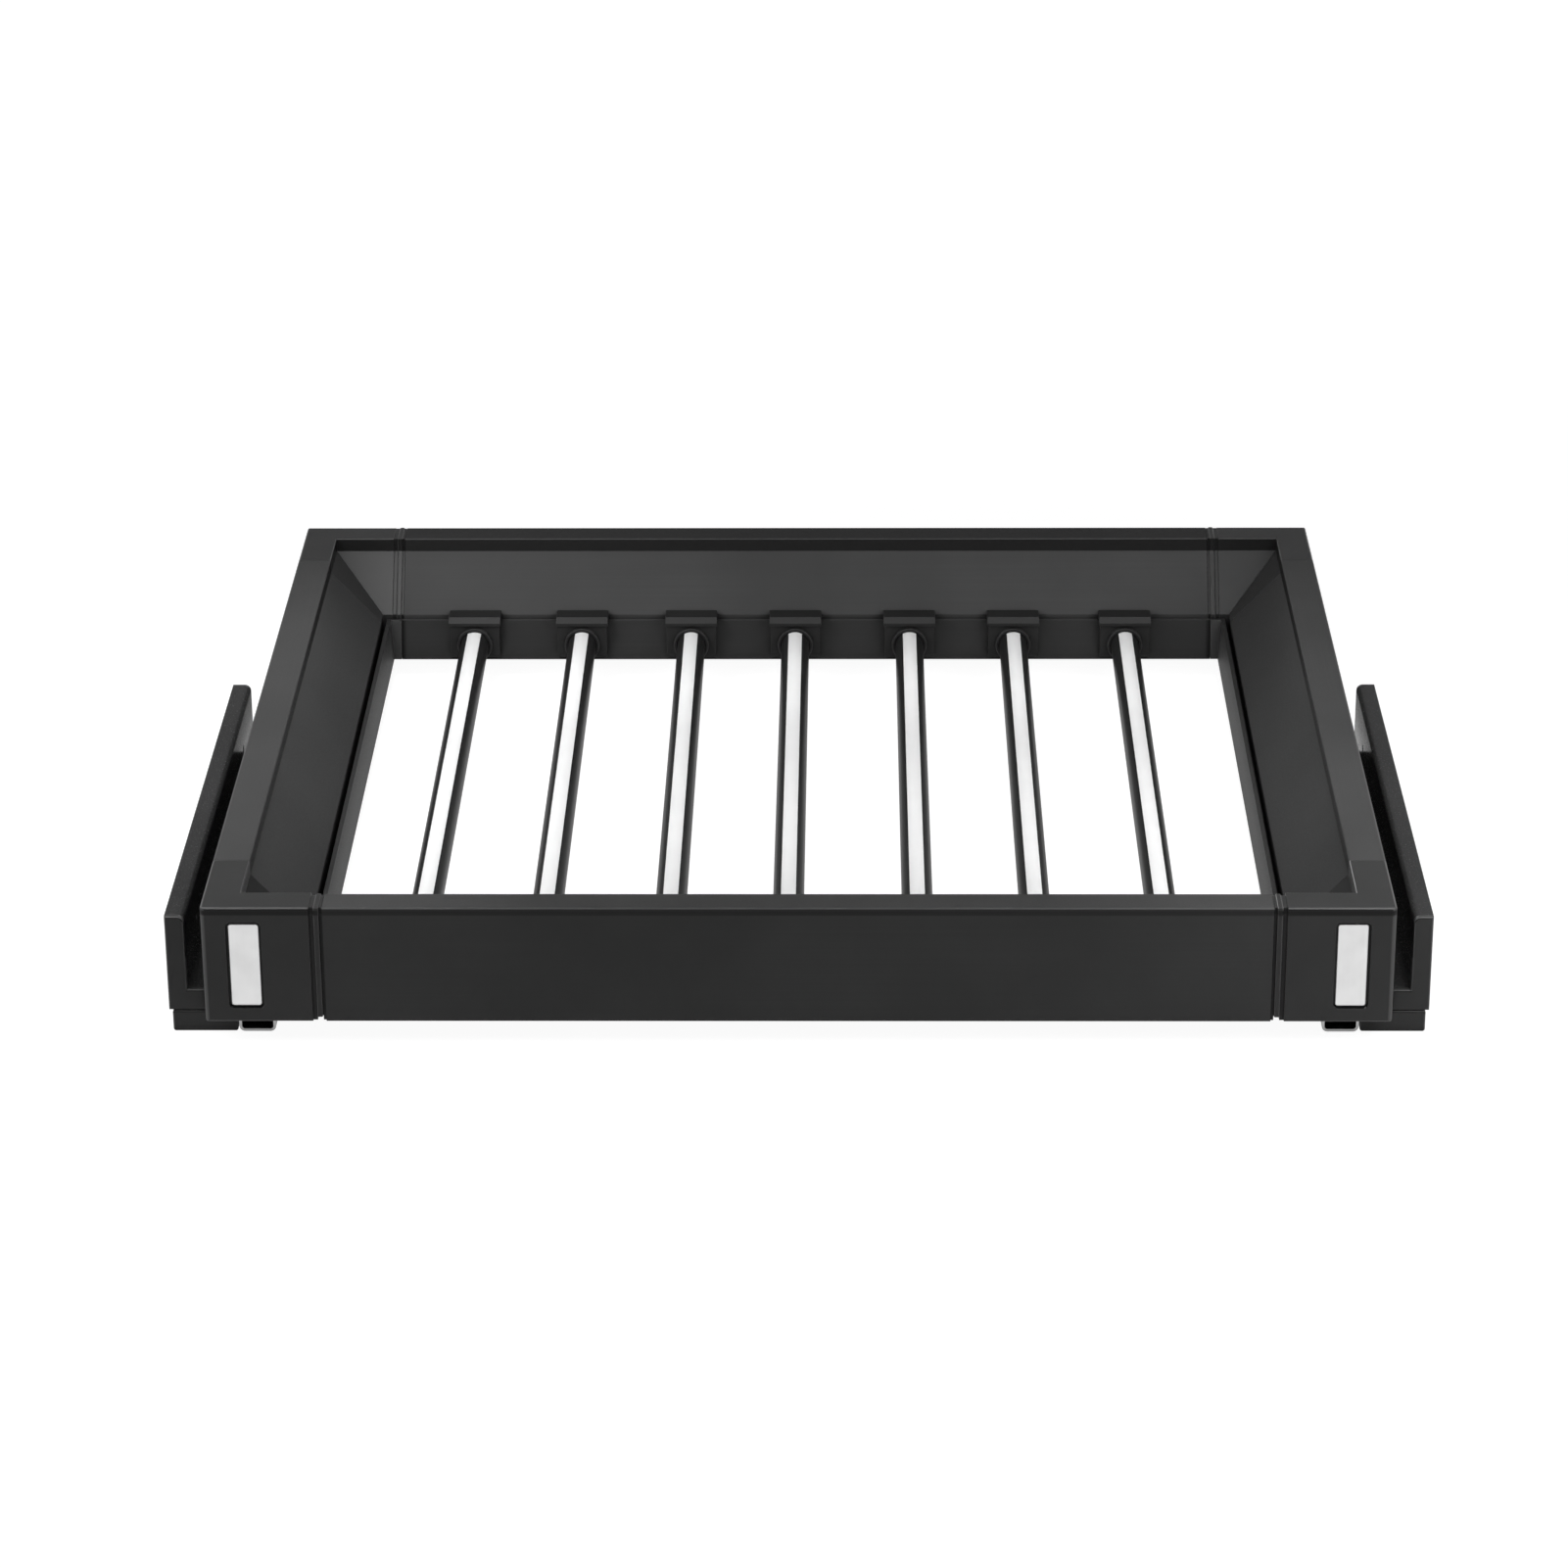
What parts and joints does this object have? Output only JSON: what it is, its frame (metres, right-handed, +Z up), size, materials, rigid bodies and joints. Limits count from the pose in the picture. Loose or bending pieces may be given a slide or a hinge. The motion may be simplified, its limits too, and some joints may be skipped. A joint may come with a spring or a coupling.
{
  "type": "pull-out trouser rack",
  "caption": "Pull-out wardrobe rack: a black frame with hanging rods across it, on side channels with ball slides.",
  "frame": {"origin": "under the middle of the rack, on the plane of the slides' undersides", "axes": "+X to the rack's right as seen from the front, +Y from front to back, +Z up"},
  "size_m": [0.564, 0.48, 0.0666],
  "materials": {
    "bar_black": "matt black powder coat, very fine texture",
    "corner_black": "moulded, fine even texture, slightly polished edges",
    "badge_satin": "satin, bare",
    "rod_black": "satin black anodised",
    "rod_strip": "bright satin",
    "clip_black": "moulded, satin",
    "channel_black": "matt black powder coat",
    "cap_black": "moulded, matt",
    "bumper_black": "moulded, matt",
    "rail_steel": "rolled, black zinc",
    "cage_steel": "rolled, bare zinc",
    "ball_steel": "polished",
    "screw_steel": "black zinc"
  },
  "bodies": {
    "cabinet_rails": {"left_side_channel": "channel_black", "left_channel_caps": "cap_black", "left_fixed_rail": "rail_steel", "left_fixed_rail_screws": "screw_steel", "right_side_channel": "channel_black", "right_channel_caps": "cap_black", "right_fixed_rail": "rail_steel", "right_fixed_rail_screws": "screw_steel"},
    "rack": {"front_bar": "bar_black", "back_bar": "bar_black", "left_bar": "bar_black", "right_bar": "bar_black", "front_left_corner": "corner_black", "front_right_corner": "corner_black", "back_left_corner": "corner_black", "back_right_corner": "corner_black", "corner_screws": "screw_steel", "left_badge": "badge_satin", "right_badge": "badge_satin", "left_moving_rail": "rail_steel", "left_moving_rail_screws": "screw_steel", "right_moving_rail": "rail_steel", "right_moving_rail_screws": "screw_steel"},
    "left_middle_rail_set": {"left_middle_rail": "rail_steel", "left_middle_rail_bumper": "bumper_black"},
    "left_outer_cage_set": {"left_outer_ball_cage": "cage_steel", "left_outer_balls": "ball_steel"},
    "left_inner_cage_set": {"left_inner_ball_cage": "cage_steel", "left_inner_balls": "ball_steel"},
    "right_middle_rail_set": {"right_middle_rail": "rail_steel", "right_middle_rail_bumper": "bumper_black"},
    "right_outer_cage_set": {"right_outer_ball_cage": "cage_steel", "right_outer_balls": "ball_steel"},
    "right_inner_cage_set": {"right_inner_ball_cage": "cage_steel", "right_inner_balls": "ball_steel"},
    "rod_1": {"rod_1_tube": "rod_black", "rod_1_strip": "rod_strip", "rod_1_clips": "clip_black"},
    "rod_2": {"rod_2_tube": "rod_black", "rod_2_strip": "rod_strip", "rod_2_clips": "clip_black"},
    "rod_3": {"rod_3_tube": "rod_black", "rod_3_strip": "rod_strip", "rod_3_clips": "clip_black"},
    "rod_4": {"rod_4_tube": "rod_black", "rod_4_strip": "rod_strip", "rod_4_clips": "clip_black"},
    "rod_5": {"rod_5_tube": "rod_black", "rod_5_strip": "rod_strip", "rod_5_clips": "clip_black"},
    "rod_6": {"rod_6_tube": "rod_black", "rod_6_strip": "rod_strip", "rod_6_clips": "clip_black"},
    "rod_7": {"rod_7_tube": "rod_black", "rod_7_strip": "rod_strip", "rod_7_clips": "clip_black"}
  },
  "joints": [
    {"name": "rack_slide", "type": "slide", "parent": "cabinet_rails", "child": "rack", "axis": [0, -1, 0], "range_m": [0, 0.24]},
    {"name": "left_middle_rail_slide", "type": "slide", "parent": "cabinet_rails", "child": "left_middle_rail_set", "axis": [0, -1, 0], "range_m": [0, 0.12]},
    {"name": "left_outer_cage_slide", "type": "slide", "parent": "cabinet_rails", "child": "left_outer_cage_set", "axis": [0, -1, 0], "range_m": [0, 0.06]},
    {"name": "left_inner_cage_slide", "type": "slide", "parent": "cabinet_rails", "child": "left_inner_cage_set", "axis": [0, -1, 0], "range_m": [0, 0.18]},
    {"name": "right_middle_rail_slide", "type": "slide", "parent": "cabinet_rails", "child": "right_middle_rail_set", "axis": [0, -1, 0], "range_m": [0, 0.12]},
    {"name": "right_outer_cage_slide", "type": "slide", "parent": "cabinet_rails", "child": "right_outer_cage_set", "axis": [0, -1, 0], "range_m": [0, 0.06]},
    {"name": "right_inner_cage_slide", "type": "slide", "parent": "cabinet_rails", "child": "right_inner_cage_set", "axis": [0, -1, 0], "range_m": [0, 0.18]},
    {"name": "rod_1_shift", "type": "slide", "parent": "rack", "child": "rod_1", "axis": [1, 0, 0], "range_m": [-0.012, 0.012]},
    {"name": "rod_2_shift", "type": "slide", "parent": "rack", "child": "rod_2", "axis": [1, 0, 0], "range_m": [-0.012, 0.012]},
    {"name": "rod_3_shift", "type": "slide", "parent": "rack", "child": "rod_3", "axis": [1, 0, 0], "range_m": [-0.012, 0.012]},
    {"name": "rod_4_shift", "type": "slide", "parent": "rack", "child": "rod_4", "axis": [1, 0, 0], "range_m": [-0.012, 0.012]},
    {"name": "rod_5_shift", "type": "slide", "parent": "rack", "child": "rod_5", "axis": [1, 0, 0], "range_m": [-0.012, 0.012]},
    {"name": "rod_6_shift", "type": "slide", "parent": "rack", "child": "rod_6", "axis": [1, 0, 0], "range_m": [-0.012, 0.012]},
    {"name": "rod_7_shift", "type": "slide", "parent": "rack", "child": "rod_7", "axis": [1, 0, 0], "range_m": [-0.012, 0.012]}
  ],
  "couplings": [
    {"joint": "left_middle_rail_slide", "follows": "rack_slide", "ratio": 0.5},
    {"joint": "left_outer_cage_slide", "follows": "rack_slide", "ratio": 0.25},
    {"joint": "left_inner_cage_slide", "follows": "rack_slide", "ratio": 0.75},
    {"joint": "right_middle_rail_slide", "follows": "rack_slide", "ratio": 0.5},
    {"joint": "right_outer_cage_slide", "follows": "rack_slide", "ratio": 0.25},
    {"joint": "right_inner_cage_slide", "follows": "rack_slide", "ratio": 0.75}
  ]
}
